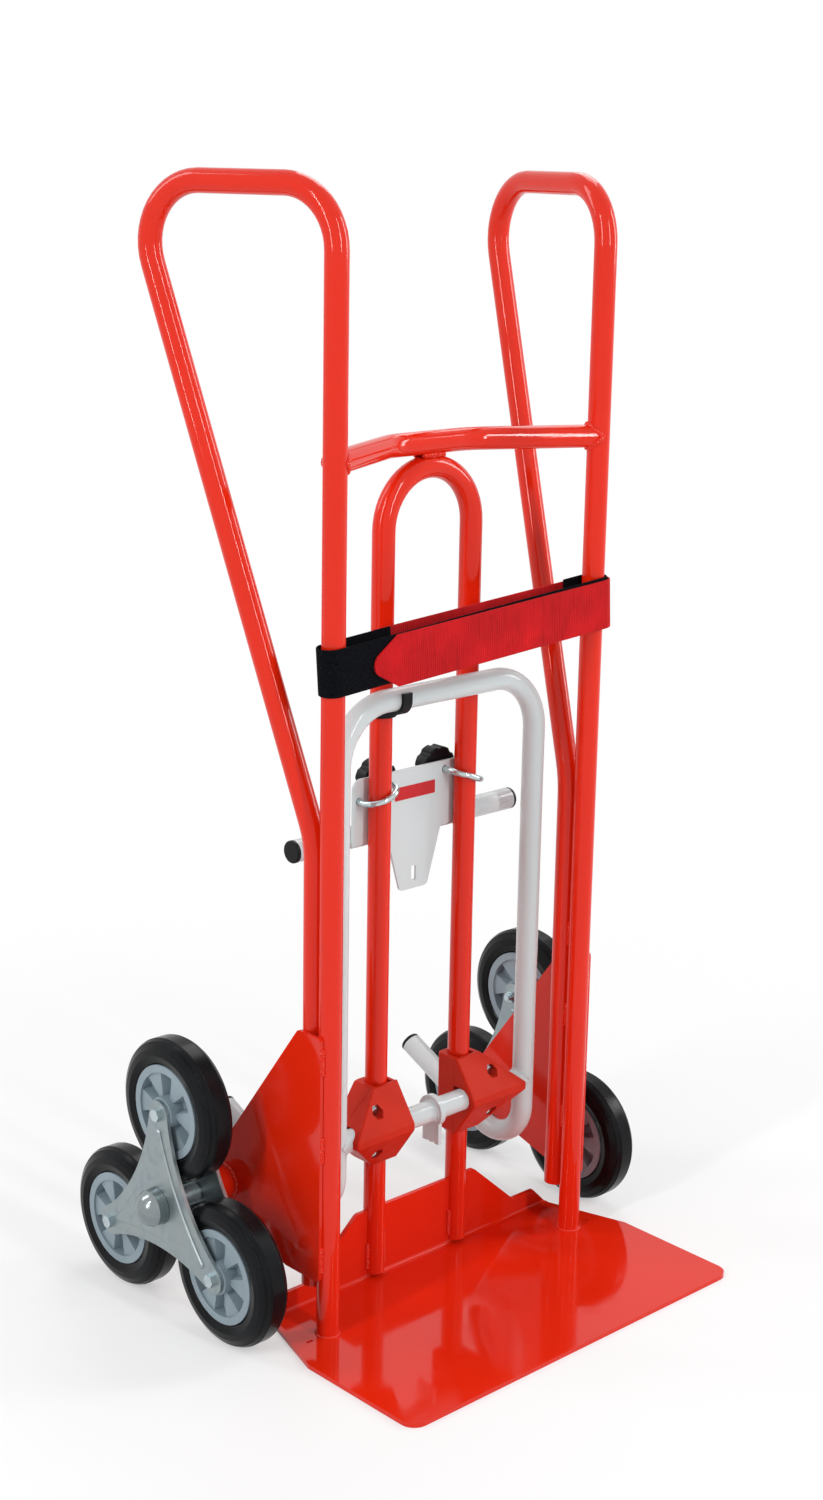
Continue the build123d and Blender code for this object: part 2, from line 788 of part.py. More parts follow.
def slider_plate():
    """Flat plate behind the rails with a tapered, slotted tongue."""
    outline = Polygon(
        (-slider_half, slider_top_z),
        (slider_half, slider_top_z),
        (slider_half, slider_wing_bottom_z),
        (tongue_root_half, slider_wing_bottom_z),
        (tongue_tip_half, tongue_bottom_z),
        (-tongue_tip_half, tongue_bottom_z),
        (-tongue_root_half, slider_wing_bottom_z),
        (-slider_half, slider_wing_bottom_z),
        align=None,
    )
    outline = fillet(outline.vertices().sort_by(Axis.Y)[-2:], slider_corner_r)
    outline = fillet(outline.vertices().sort_by(Axis.Y)[:2], tongue_corner_r)
    roots = outline.vertices().sort_by_distance(Vertex(0, slider_wing_bottom_z))[:2]
    outline = fillet(roots, tongue_corner_r)
    outline -= Pos(0, slot_z) * Rectangle(slot_width, slot_height)
    hole_r = hook_rod_d / 2 + hook_hole_gap
    for sign in sides.values():
        outline -= Pos(sign * (rail_half - hook_half), hook_inner_z) * Circle(hole_r)
        outline -= Pos(sign * (rail_half + hook_half), hook_outer_z) * Circle(hole_r)
    return Pos(0, slider_y, 0) * extrude(Plane.XZ * outline, amount=slider_t, dir=(0, 1, 0))


def slider_tube():
    """Cross tube welded behind the slider plate."""
    place = (slider_back_y + tube_r + weld_gap, slider_tube_z)
    return ring("x", -slider_tube_half, slider_tube_half, tube_r, tube_r - tube_wall, place)


def slider_cap():
    """Plastic plug in the right end of the slider tube."""
    place = (slider_back_y + tube_r + weld_gap, slider_tube_z)
    end = slider_tube_half + cap_t
    disc = rod("x", slider_tube_half, end, tube_r, place)
    disc = fillet(disc.edges().filter_by(GeomType.CIRCLE).sort_by(Axis.X)[-1], cap_round)
    plug_r = tube_r - tube_wall - press_gap
    return disc + rod("x", slider_tube_half - cap_plug, slider_tube_half, plug_r, place)


def hook_bolt():
    """Bent rod round the right rail: its inner arm carries the knob."""
    front_y = rail_y - tube_r - slide_gap - hook_rod_d / 2
    inner_x = rail_half - hook_half
    outer_x = rail_half + hook_half
    path = FilletPolyline(
        (inner_x, knob_face_y() + knob_bore_depth - thread_end_gap, hook_inner_z),
        (inner_x, front_y, hook_inner_z),
        (outer_x, front_y, hook_outer_z),
        (outer_x, slider_back_y + hook_tail, hook_outer_z),
        radius=hook_bend_r,
    )
    return bent_rod(path, hook_rod_d)


def knob_face_y():
    """Y of the knob's face against the back of the slider plate."""
    return slider_back_y + side_gap


def knob():
    """Lobed hand knob on the inner arm of the right hook bolt."""
    place = (rail_half - hook_half, hook_inner_z)
    face_y = knob_face_y()
    body_y = face_y + knob_boss_h
    turns = [360 * index / knob_lobes for index in range(knob_lobes)]
    outline = Circle(knob_d / 2)
    scallop_place = knob_d / 2 + knob_scallop_r - knob_scallop_depth
    for turn in turns:
        outline -= Pos(*star_point(scallop_place, turn)) * Circle(knob_scallop_r)
    plane = Plane(origin=(place[0], body_y, place[1]), x_dir=(1, 0, 0), z_dir=(0, 1, 0))
    body = extrude(plane * outline, amount=knob_t)
    middle_y = body_y + knob_t / 2
    rims = [edge for edge in body.edges() if abs(edge.center().Y - middle_y) > knob_t / 3]
    body = chamfer(rims, knob_chamfer)
    body += rod("y", face_y, body_y, knob_boss_d / 2, place)
    bore = rod("y", face_y - cut_over, face_y + knob_bore_depth, hook_rod_d / 2 + run_gap, place)
    return body - bore


def slider_label():
    """Plain label on the front of the slider plate."""
    centre = Pos(0, slider_y - label_t / 2, label_z)
    return centre * Box(label_width, label_t, label_height)


def strap_ring(half_depth, width, end_room, middle_z, tilt):
    """A flat loop round both uprights: outer half depth, width, room at its ends, height and tilt."""
    straight = upright_half + end_room
    core = SlotCenterToCenter(2 * straight, 2 * half_depth)
    hole = SlotCenterToCenter(2 * straight, 2 * (half_depth - strap_t))
    loop = extrude(core - hole, amount=width / 2, both=True)
    return Pos(0, 0, middle_z) * Rot(0, -tilt, 0) * loop


def strap_band():
    """Black loop band: front run, a turn round each upright and two ends at the back."""
    half_depth = tube_r + strap_gap + strap_t
    loop = strap_ring(half_depth, strap_width, band_end_room, band_z, band_tilt)
    opening = Box(band_back_right_x - band_back_left_x, 2 * half_depth, 2 * strap_width)
    return loop - Pos((band_back_left_x + band_back_right_x) / 2, half_depth, band_z) * opening


def strap_tail():
    """Red tail over the band: front run with a pointed tip, right turn and back run."""
    half_depth = tube_r + strap_gap + 2 * strap_t + weld_gap
    loop = strap_ring(half_depth, tail_width, tail_end_room, tail_z, tail_tilt)
    span = upright_half + tail_end_room + half_depth
    front_length = span - tail_tip_x
    back_length = span - tail_back_x
    front = Pos(span - front_length / 2, -half_depth) * Rectangle(front_length, 2 * half_depth)
    back = Pos(span - back_length / 2, half_depth) * Rectangle(back_length, 2 * half_depth)
    keep = extrude(front + back, amount=tail_z + 2 * tail_width)
    tail = loop & keep
    return tail - tail_tip_waste(half_depth)


def tail_tip_waste(half_depth):
    """What is cut off the tail's front end to leave its rounded point."""
    half = tail_width / 2
    slope = radians(tail_tip_angle)
    apex_x = tail_tip_r - tail_tip_r / sin(slope)
    reach = half / tan(slope)
    point = Polygon(
        (apex_x, 0),
        (apex_x + reach, -half),
        (2 * reach, -half),
        (2 * reach, half),
        (apex_x + reach, half),
        align=None,
    )
    point = fillet(point.vertices().sort_by(Axis.X)[:1], tail_tip_r)
    waste = Rectangle(2 * reach, 2 * tail_width) - point
    along = (cos(radians(tail_tilt)), 0, sin(radians(tail_tilt)))
    tip_z = tail_z + tail_tip_x * sin(radians(tail_tilt))
    place = Plane(origin=(tail_tip_x, 0, tip_z), x_dir=along, z_dir=(0, -1, 0))
    return extrude(place * waste, amount=2 * half_depth)


def star_nodes(side):
    """The pieces of one star, without its wheels."""
    turns = star_turns.values()
    pieces = {
        "star_inner_plate": mirror(star_plate(), about=Plane.YZ.offset(wheel_x)),
        "star_outer_plate": star_plate(),
        "star_hub": star_hub(),
        "wheel_bolts": Compound(children=[wheel_bolt(turn) for turn in turns]),
        "wheel_nuts": Compound(children=[wheel_nut(turn) for turn in turns]),
        "wheel_spacers": Compound(children=[wheel_spacer(turn) for turn in turns]),
    }
    return {side + "_" + name: on_side(piece, side) for name, piece in pieces.items()}


def wheel_nodes(side):
    """Tyre and hub of each wheel of one star."""
    pieces = {}
    for name, turn in star_turns.items():
        place = Pos(wheel_x, *wheel_place(turn))
        pieces[side + "_" + name + "_tyre"] = on_side(place * tyre(), side)
        pieces[side + "_" + name + "_wheel_hub"] = on_side(place * wheel_hub(), side)
    return pieces


def all_nodes():
    """Every piece of the truck by its node's name."""
    bolts = [clamp_bolt(place) for place in clamp_bolt_places()]
    nuts = [clamp_nut(place) for place in clamp_bolt_places()]
    washers = axle_washers()
    nodes = {
        "cross_bar": cross_bar(),
        "guide_hoop": guide_hoop(),
        "toe_plate": toe_plate(),
        "axle_bosses": both_sides(axle_boss()),
        "axle_washers": Compound(children=washers + [mirrored(washer) for washer in washers]),
        "axle_dome_nuts": both_sides(dome_nut()),
        "hook_clip": hook_clip(),
        "strap_band": strap_band(),
        "strap_tail": strap_tail(),
        "clamp_bolts": Compound(children=bolts + [mirrored(bolt) for bolt in bolts]),
        "clamp_nuts": Compound(children=nuts + [mirrored(nut) for nut in nuts]),
        "fork_hoop": fork_hoop(),
        "pivot_tube": pivot_tube(),
        "lock_collar": lock_collar(),
        "tine_caps": both_sides(tine_cap()),
        "slider_plate": slider_plate(),
        "slider_tube": slider_tube(),
        "slider_tube_caps": both_sides(slider_cap()),
        "slider_label": slider_label(),
    }
    for side in sides:
        nodes[side + "_side_frame"] = on_side(side_frame(), side)
        nodes[side + "_side_plate"] = on_side(side_plate(), side)
        nodes[side + "_stub_axle"] = on_side(stub_axle(), side)
        nodes[side + "_clamp_front"] = on_side(clamp_front(), side)
        nodes[side + "_clamp_rear"] = on_side(clamp_rear(), side)
        nodes[side + "_hook_bolt"] = on_side(hook_bolt(), side)
        nodes[side + "_knob"] = on_side(knob(), side)
        nodes.update(star_nodes(side))
        nodes.update(wheel_nodes(side))
    return nodes


os.makedirs("parts", exist_ok=True)
for node_name, shape in all_nodes().items():
    export_step(shape, "parts/" + node_name + ".step")
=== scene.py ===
"""Looks of the chair hand truck: finishes for its solids, welds, the strap and the studio."""

from math import cos, pi, radians, sin, sqrt, tan

import bpy
from mathutils import Matrix, Vector


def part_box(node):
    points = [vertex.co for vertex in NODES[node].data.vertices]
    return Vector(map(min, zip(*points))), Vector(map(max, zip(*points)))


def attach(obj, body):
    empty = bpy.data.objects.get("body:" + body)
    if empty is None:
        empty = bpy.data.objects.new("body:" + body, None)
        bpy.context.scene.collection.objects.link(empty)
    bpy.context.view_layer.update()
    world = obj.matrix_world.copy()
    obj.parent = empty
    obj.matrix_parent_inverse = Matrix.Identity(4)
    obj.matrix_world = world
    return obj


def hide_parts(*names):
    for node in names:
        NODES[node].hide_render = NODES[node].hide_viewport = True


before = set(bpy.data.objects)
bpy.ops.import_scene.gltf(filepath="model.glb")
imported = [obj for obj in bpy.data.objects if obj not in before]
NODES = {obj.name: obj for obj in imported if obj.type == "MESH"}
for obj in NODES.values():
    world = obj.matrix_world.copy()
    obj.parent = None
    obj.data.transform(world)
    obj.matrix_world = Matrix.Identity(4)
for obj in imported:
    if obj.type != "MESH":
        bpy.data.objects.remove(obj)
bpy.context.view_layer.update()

bl_info = {
    "name": "Chair hand truck looks",
    "version": (1, 0, 0),
    "blender": (4, 5, 0),
    "location": "View3D > Sidebar > Hand truck",
    "description": "Paint, steel, rubber, welds, strap and studio for the chair hand truck",
    "category": "Object",
}

# Sizes of the truck that the added pieces follow, in metres
TUBE_R = 0.0125
UPRIGHT_X = 0.1905
REAR_LEG_Y = 0.0253
TOE_TOP_Z = 0.005
RAIL_X = 0.064
RAIL_Y = 0.0665
UPSTAND_Y = 0.064
CROSS_BAR_Z = 0.95
CROSS_BEND_X = 0.057
FORK_X = 0.146
FORK_Y = 0.0409
PIVOT_Z = 0.197
BAND_Z = 0.7562
BAND_HALF = 0.025
BAND_RUN = UPRIGHT_X + 0.0024
BAND_TILT = radians(4.2)
BAND_BACK_LEFT_X = -0.1
BAND_BACK_RIGHT_X = 0.16
TAIL_Z = 0.7524
TAIL_HALF = 0.0275
TAIL_RUN = UPRIGHT_X + 0.004
TAIL_TILT = radians(3.7)
TAIL_TIP_X = -0.15
TAIL_TIP_R = 0.0132
TAIL_TIP_ANGLE = radians(32.0)
TAIL_BACK_X = -0.12

# Welds, in metres: how long they are and where they sit
BOSS_R = 0.019
PLATE_WELD = 0.026
PLATE_WELD_Y = -0.003
PLATE_WELD_FOOT = 0.012
PLATE_WELD_HEAD = 0.04
LEG_WELD_IN = 0.0035
LEG_WELD_FROM = 0.05
LEG_WELD_TO = 0.075
RAIL_WELD_FROM_Z = 0.018
RAIL_WELD_TO_Z = 0.046
CROWN_WELD_X = 0.014
CROWN_WELD_Y = 0.007
SLIDER_WELD_FROM_X = 0.05
SLIDER_WELD_TO_X = 0.085
SLIDER_WELD_IN = 0.0012
SLIDER_WELD_Z = 0.006

# Beads against the full bead of the frame, and the ripples of every bead
FOOT_BEAD = 0.55
FORK_BEAD = 0.45
SLIDER_BEAD = 0.8
RIPPLE_SEED = 7
RIPPLE_LEAST = 0.86
RIPPLE_MOST = 1.12
RIPPLE_LENGTH = 0.95

# Weave of the strap, in metres
BAND_STEP = 0.0026
BAND_WAVE = 0.0078
BAND_WAVE_DEPTH = 0.0001
TAIL_STEPS_A_RIB = 5
TIP_LEAST_HALF = 0.0012

# Studio, in metres
FLOOR_HALF = 9.0
FLOOR_Z = -0.0004
FLOOR_NEAR = 0.35
FLOOR_FAR = 1.5
FLOOR_NEAR_GLOW = 0.45
LAMP_HEIGHT = 2.0
LAMP_AIM = Vector((0, 0, 0.6))
CAMERA_PLACE = (-1.647, -1.667, 1.248)
CAMERA_TURN = radians(43.21)
CAMERA_DOWN = radians(14.86)
CAMERA_ROLL = radians(1.02)


def node_middle(name):
    """Middle of a solid's box at rest."""
    low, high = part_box(name)
    return (low + high) / 2


# Settings that a user would change


class TruckFinish(bpy.types.PropertyGroup):
    """Colours and gloss of the truck."""

    frame_red: bpy.props.FloatVectorProperty(
        name="Frame red", description="Powder coat on the frame", subtype="COLOR",
        default=(0.745, 0.02, 0.004), min=0, max=1)
    fork_white: bpy.props.FloatVectorProperty(
        name="Fork white", description="Powder coat on the fork and the slider", subtype="COLOR",
        default=(0.625, 0.685, 0.695), min=0, max=1)
    clamp_red: bpy.props.FloatVectorProperty(
        name="Clamp red", description="Matt moulding of the rail clamps", subtype="COLOR",
        default=(0.585, 0.024, 0.008), min=0, max=1)
    zinc_tint: bpy.props.FloatVectorProperty(
        name="Zinc", description="Zinc plate on the stars, axles and bolts", subtype="COLOR",
        default=(0.315, 0.37, 0.395), min=0, max=1)
    hub_grey: bpy.props.FloatVectorProperty(
        name="Hub grey", description="Blue-grey wheel centres", subtype="COLOR",
        default=(0.27, 0.34, 0.385), min=0, max=1)
    rubber_black: bpy.props.FloatVectorProperty(
        name="Rubber", description="Solid rubber tyres", subtype="COLOR",
        default=(0.0045, 0.005, 0.006), min=0, max=1)
    plastic_black: bpy.props.FloatVectorProperty(
        name="Black plastic", description="Knobs, caps and the clip", subtype="COLOR",
        default=(0.0038, 0.0042, 0.0055), min=0, max=1)
    strap_red: bpy.props.FloatVectorProperty(
        name="Strap red", description="Woven tail of the strap", subtype="COLOR",
        default=(0.52, 0.007, 0.01), min=0, max=1)
    strap_black: bpy.props.FloatVectorProperty(
        name="Strap black", description="Hook-and-loop band of the strap", subtype="COLOR",
        default=(0.003, 0.0033, 0.0045), min=0, max=1)
    label_red: bpy.props.FloatVectorProperty(
        name="Label red", description="Plain label on the slider", subtype="COLOR",
        default=(0.58, 0.008, 0.012), min=0, max=1)
    paint_roughness: bpy.props.FloatProperty(
        name="Paint roughness", description="Roughness of the powder coat", subtype="FACTOR",
        default=0.07, min=0, max=1)


class TruckDetail(bpy.types.PropertyGroup):
    """Sizes of the welds and the strap."""

    bead_radius: bpy.props.FloatProperty(
        name="Weld radius", description="Half the width of a weld bead", unit="LENGTH",
        default=0.0034, min=0.0005, max=0.01)
    bead_pitch: bpy.props.FloatProperty(
        name="Weld ripple", description="Distance between the ripples of a weld", unit="LENGTH",
        default=0.0026, min=0.0005, max=0.01)
    strap_thickness: bpy.props.FloatProperty(
        name="Strap thickness", description="Thickness of the webbing", unit="LENGTH",
        default=0.002, min=0.0005, max=0.005)
    rib_pitch: bpy.props.FloatProperty(
        name="Rib pitch", description="Distance between the woven ribs of the tail", unit="LENGTH",
        default=0.0027, min=0.001, max=0.01)
    rib_depth: bpy.props.FloatProperty(
        name="Rib depth", description="Depth of the woven ribs", unit="LENGTH",
        default=0.00014, min=0, max=0.0005)


class TruckStudio(bpy.types.PropertyGroup):
    """Light and floor."""

    floor_white: bpy.props.FloatVectorProperty(
        name="Floor", description="Colour of the floor", subtype="COLOR",
        default=(0.9, 0.9, 0.9), min=0, max=1)
    sky: bpy.props.FloatProperty(
        name="Room light", description="Strength of the even light from all sides",
        default=0.4, min=0, max=1)
    key: bpy.props.FloatProperty(
        name="Key lamps", description="Each of the two lamps in front", unit="POWER", default=37.0, min=0)
    fill: bpy.props.FloatProperty(
        name="Fill lamp", description="Lamp at the right", unit="POWER", default=40.0, min=0)
    rear: bpy.props.FloatProperty(
        name="Rear lamps", description="Each of the two lamps behind", unit="POWER", default=24.0, min=0)


# Materials


class Finish:
    """A material in the making: its tree, its shader and its coordinates."""

    def __init__(self, name, colour, roughness, metallic=0.0, uv=False):
        self.material = bpy.data.materials.new(name)
        self.material.use_nodes = True
        self.tree = self.material.node_tree
        self.tree.nodes.clear()
        output = self.tree.nodes.new("ShaderNodeOutputMaterial")
        self.shader = self.tree.nodes.new("ShaderNodeBsdfPrincipled")
        self.join(self.shader.outputs["BSDF"], output.inputs["Surface"])
        self.shader.inputs["Base Color"].default_value = (*colour, 1)
        self.shader.inputs["Roughness"].default_value = roughness
        self.shader.inputs["Metallic"].default_value = metallic
        self.colour = colour
        coordinates = self.tree.nodes.new("ShaderNodeTexCoord")
        self.place = coordinates.outputs["UV" if uv else "Object"]

    def join(self, start, end):
        """Links an output to an input."""
        self.tree.links.new(start, end)

    def set(self, **values):
        """Constant values straight on the shader's sockets."""
        for name, value in values.items():
            self.shader.inputs[name.replace("_", " ")].default_value = value

    def noise(self, size, detail=3.0, roughness=0.5):
        """Noise whose features are about this size in metres."""
        node = self.tree.nodes.new("ShaderNodeTexNoise")
        node.inputs["Scale"].default_value = 1 / size
        node.inputs["Detail"].default_value = detail
        node.inputs["Roughness"].default_value = roughness
        self.join(self.place, node.inputs["Vector"])
        return node.outputs["Fac"]

    def cells(self, size):
        """Distance to the middle of cells of about this size in metres."""
        node = self.tree.nodes.new("ShaderNodeTexVoronoi")
        node.inputs["Scale"].default_value = 1 / size
        self.join(self.place, node.inputs["Vector"])
        return node.outputs["Distance"]

    def streaks(self, width, length):
        """Noise drawn out across the strap: streaks of this width and length in metres."""
        stretch = self.tree.nodes.new("ShaderNodeVectorMath")
        stretch.operation = "MULTIPLY"
        stretch.inputs[1].default_value = (1 / width, 1 / length, 1)
        node = self.tree.nodes.new("ShaderNodeTexNoise")
        node.inputs["Scale"].default_value = 1.0
        node.inputs["Detail"].default_value = 2.0
        self.join(self.place, stretch.inputs[0])
        self.join(stretch.outputs["Vector"], node.inputs["Vector"])
        return node.outputs["Fac"]

    def bands(self, pitch, axis, wobble=0.0):
        """Waves across one axis with this pitch in metres."""
        node = self.tree.nodes.new("ShaderNodeTexWave")
        node.bands_direction = axis
        node.inputs["Scale"].default_value = 2 * pi / 20 / pitch
        node.inputs["Distortion"].default_value = wobble
        node.inputs["Detail Scale"].default_value = 2.0
        self.join(self.place, node.inputs["Vector"])
        return node.outputs["Fac"]

    def spread(self, value, low, high, start=0.3, stop=0.7):
        """Maps a noise from start..stop to low..high."""
        node = self.tree.nodes.new("ShaderNodeMapRange")
        node.inputs["From Min"].default_value = start
        node.inputs["From Max"].default_value = stop
        node.inputs["To Min"].default_value = low
        node.inputs["To Max"].default_value = high
        self.join(value, node.inputs["Value"])
        return node.outputs["Result"]

    def rough(self, value, low, high):
        """Roughness that changes over the surface."""
        self.join(self.spread(value, low, high), self.shader.inputs["Roughness"])

    def tint(self, value, other, start=0.3, stop=0.7):
        """Mixes another colour in where the value is high."""
        mix = self.tree.nodes.new("ShaderNodeMix")
        mix.data_type = "RGBA"
        base = self.shader.inputs["Base Color"]
        if base.is_linked:
            self.join(base.links[0].from_socket, mix.inputs["A"])
        else:
            mix.inputs["A"].default_value = (*self.colour, 1)
        mix.inputs["B"].default_value = (*other, 1)
        self.join(self.spread(value, 0.0, 1.0, start, stop), mix.inputs["Factor"])
        self.join(mix.outputs["Result"], base)

    def bump(self, height, strength, depth):
        """Bump of this depth in metres, laid over any bump that is there."""
        node = self.tree.nodes.new("ShaderNodeBump")
        node.inputs["Strength"].default_value = strength
        node.inputs["Distance"].default_value = depth
        normal = self.shader.inputs["Normal"]
        if normal.is_linked:
            self.join(normal.links[0].from_socket, node.inputs["Normal"])
        self.join(height, node.inputs["Height"])
        self.join(node.outputs["Normal"], normal)


def shade(colour, factor):
    """A colour made darker or lighter."""
    return tuple(min(1.0, part * factor) for part in colour)


def powder_coat(name, colour, roughness):
    """Glossy powder coat with a fine orange peel."""
    coat = Finish(name, colour, roughness)
    coat.set(Specular_IOR_Level=0.29)
    coat.tint(coat.noise(0.2, 3), shade(colour, 0.93))
    coat.rough(coat.noise(0.03, 5), roughness - 0.03, roughness + 0.05)
    coat.bump(coat.noise(0.0022, 1), 0.03, 0.0002)
    return coat.material


def zinc_plate(name, colour, roughness, metallic=1.0):
    """Zinc with a slight colour drift and a rolled grain."""
    zinc = Finish(name, colour, roughness, metallic=metallic)
    zinc.tint(zinc.noise(0.05, 3), (colour[0] * 1.06, colour[1], colour[2] * 0.93))
    zinc.tint(zinc.noise(0.012, 3), shade(colour, 0.86), 0.5, 0.75)
    zinc.rough(zinc.noise(0.015, 5), roughness - 0.07, roughness + 0.1)
    zinc.bump(zinc.noise(0.0012, 3), 0.08, 0.0002)
    return zinc.material


def moulding(name, colour, roughness, grain, gloss):
    """Moulded plastic with a fine eroded grain."""
    plastic = Finish(name, colour, roughness)
    plastic.set(Specular_IOR_Level=gloss)
    plastic.tint(plastic.noise(0.04, 3), shade(colour, 0.88))
    plastic.rough(plastic.noise(0.02, 4), roughness - 0.06, roughness + 0.08)
    plastic.bump(plastic.noise(grain, 2), 0.16, 0.0002)
    return plastic.material


def rubber(name, colour):
    """Solid rubber with a dusty bloom."""
    tyre = Finish(name, colour, 0.4)
    tyre.set(Specular_IOR_Level=0.12)
    tyre.tint(tyre.noise(0.035, 4), shade(colour, 1.9), 0.45, 0.8)
    tyre.rough(tyre.noise(0.02, 5), 0.16, 0.3)
    tyre.bump(tyre.noise(0.0011, 2), 0.14, 0.0002)
    tyre.bump(tyre.noise(0.012, 3), 0.03, 0.0005)
    return tyre.material


def webbing(name, colour, pitch):
    """Woven ribbed webbing, laid out along and across the strap."""
    weave = Finish(name, colour, 0.72, uv=True)
    weave.set(Sheen_Weight=0.03, Sheen_Roughness=0.4, Specular_IOR_Level=0.1)
    ribs = weave.bands(pitch, "X", 0.6)
    yarns = weave.bands(pitch * 0.42, "Y", 1.0)
    # Painted shade: the ribs are coloured darker in step with their own bump, standing in for shade
    # across the weave
    weave.tint(ribs, shade(colour, 0.6), 0.5, 1.0)
    weave.tint(weave.streaks(0.003, 0.03), shade(colour, 0.68), 0.5, 0.75)
    weave.tint(weave.noise(0.05, 4), shade(colour, 1.18), 0.45, 0.75)
    weave.bump(ribs, 0.55, 0.0004)
    weave.bump(yarns, 0.3, 0.00018)
    weave.bump(weave.noise(0.0008, 2), 0.25, 0.0002)
    return weave.material


def loop_pile(name, colour):
    """Short fuzzy loops of a hook-and-loop band."""
    pile = Finish(name, colour, 0.92, uv=True)
    pile.set(Sheen_Weight=0.01, Sheen_Roughness=0.5, Specular_IOR_Level=0.03)
    pile.tint(pile.noise(0.003, 5, 0.7), shade(colour, 2.6), 0.45, 0.8)
    pile.tint(pile.noise(0.0013, 2), (0.035, 0.038, 0.045), 0.62, 0.78)
    pile.bump(pile.cells(0.0011), 0.6, 0.0006)
    pile.bump(pile.noise(0.0006, 3), 0.5, 0.0004)
    return pile.material


def dress(material, *names):
    """Gives CAD solids a finish through their material slots."""
    for name in names:
        solid = NODES[name]
        if not solid.material_slots:
            solid.data.materials.append(material)
        for place in solid.material_slots:
            place.material = material


def sided(*names):
    """Node names of both sides."""
    return [side + "_" + name for side in ("left", "right") for name in names]


# Geometry Nodes trees


def add_input(tree, name, kind, default=None):
    """Adds a named input to a tree."""
    item = tree.interface.new_socket(name=name, in_out="INPUT", socket_type=kind)
    if default is not None:
        item.default_value = default


def start_tree(name):
    """An empty geometry tree with its group nodes."""
    tree = bpy.data.node_groups.new(name, "GeometryNodeTree")
    add_input(tree, "Geometry", "NodeSocketGeometry")
    tree.interface.new_socket(name="Geometry", in_out="OUTPUT", socket_type="NodeSocketGeometry")
    return tree, tree.nodes.new("NodeGroupInput"), tree.nodes.new("NodeGroupOutput")


def close_tree(tree, source, group_in, group_out):
    """Ends a tree in Realize Instances and Set Material."""
    real = tree.nodes.new("GeometryNodeRealizeInstances")
    smooth = tree.nodes.new("GeometryNodeSetShadeSmooth")
    paint = tree.nodes.new("GeometryNodeSetMaterial")
    tree.links.new(source, real.inputs["Geometry"])
    tree.links.new(real.outputs["Geometry"], smooth.inputs["Geometry"])
    tree.links.new(smooth.outputs["Geometry"], paint.inputs["Geometry"])
    tree.links.new(group_in.outputs["Material"], paint.inputs["Material"])
    tree.links.new(paint.outputs["Geometry"], group_out.inputs["Geometry"])


def weld_tree():
    """Ripples of a weld bead along every line of the input."""
    tree, group_in, group_out = start_tree("weld_bead")
    add_input(tree, "Pitch", "NodeSocketFloat", 0.002)
    add_input(tree, "Radius", "NodeSocketFloat", 0.0025)
    add_input(tree, "Material", "NodeSocketMaterial")
    link = tree.links.new
    line = tree.nodes.new("GeometryNodeMeshToCurve")
    steps = tree.nodes.new("GeometryNodeResampleCurve")
    steps.mode = "LENGTH"
    tangent = tree.nodes.new("GeometryNodeInputTangent")
    turn = tree.nodes.new("FunctionNodeAlignRotationToVector")
    turn.axis = "X"
    ripple = tree.nodes.new("GeometryNodeMeshIcoSphere")
    ripple.inputs["Radius"].default_value = 1.0
    ripple.inputs["Subdivisions"].default_value = 2
    vary = tree.nodes.new("FunctionNodeRandomValue")
    vary.data_type = "FLOAT"
    vary.inputs["Seed"].default_value = RIPPLE_SEED
    vary.inputs[2].default_value = RIPPLE_LEAST
    vary.inputs[3].default_value = RIPPLE_MOST
    width = tree.nodes.new("ShaderNodeMath")
    width.operation = "MULTIPLY"
    length = tree.nodes.new("ShaderNodeMath")
    length.operation = "MULTIPLY"
    length.inputs[1].default_value = RIPPLE_LENGTH
    size = tree.nodes.new("ShaderNodeCombineXYZ")
    copies = tree.nodes.new("GeometryNodeInstanceOnPoints")
    link(group_in.outputs["Geometry"], line.inputs["Mesh"])
    link(line.outputs["Curve"], steps.inputs["Curve"])
    link(group_in.outputs["Pitch"], steps.inputs["Length"])
    link(tangent.outputs["Tangent"], turn.inputs["Vector"])
    link(group_in.outputs["Radius"], width.inputs[0])
    link(vary.outputs[1], width.inputs[1])
    link(group_in.outputs["Pitch"], length.inputs[0])
    link(length.outputs[0], size.inputs["X"])
    link(width.outputs[0], size.inputs["Y"])
    link(width.outputs[0], size.inputs["Z"])
    link(steps.outputs["Curve"], copies.inputs["Points"])
    link(ripple.outputs["Mesh"], copies.inputs["Instance"])
    link(turn.outputs["Rotation"], copies.inputs["Rotation"])
    link(size.outputs["Vector"], copies.inputs["Scale"])
    close_tree(tree, copies.outputs["Instances"], group_in, group_out)
    return tree


def grown(name, points, edges, tree, body, slot_name, **values):
    """Runs a tree on points and lines, and leaves a plain mesh that rides on a body."""
    seed = bpy.data.meshes.new(name + "_seed")
    seed.from_pydata([tuple(point) for point in points], edges, [])
    piece = bpy.data.objects.new(name, seed)
    bpy.context.scene.collection.objects.link(piece)
    step = piece.modifiers.new("shape", "NODES")
    step.node_group = tree
    for item in tree.interface.items_tree:
        if item.in_out == "INPUT" and item.name in values:
            step[item.identifier] = values[item.name]
    bpy.context.view_layer.update()
    shown = piece.evaluated_get(bpy.context.evaluated_depsgraph_get())
    result = bpy.data.meshes.new_from_object(shown)
    piece.modifiers.remove(step)
    piece.data = result
    bpy.data.meshes.remove(seed)
    if not result.polygons:
        raise RuntimeError(name + " came out empty")
    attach(piece, body)


class Lines:
    """Points and edges of several open or closed lines."""

    def __init__(self):
        self.points = []
        self.edges = []

    def add(self, points, closed=False):
        """Adds one line, joined end to start when it is closed."""
        first = len(self.points)
        self.points.extend(Vector(point) for point in points)
        last = len(self.points) - 1
        self.edges.extend((index, index + 1) for index in range(first, last))
        if closed:
            self.edges.append((last, first))


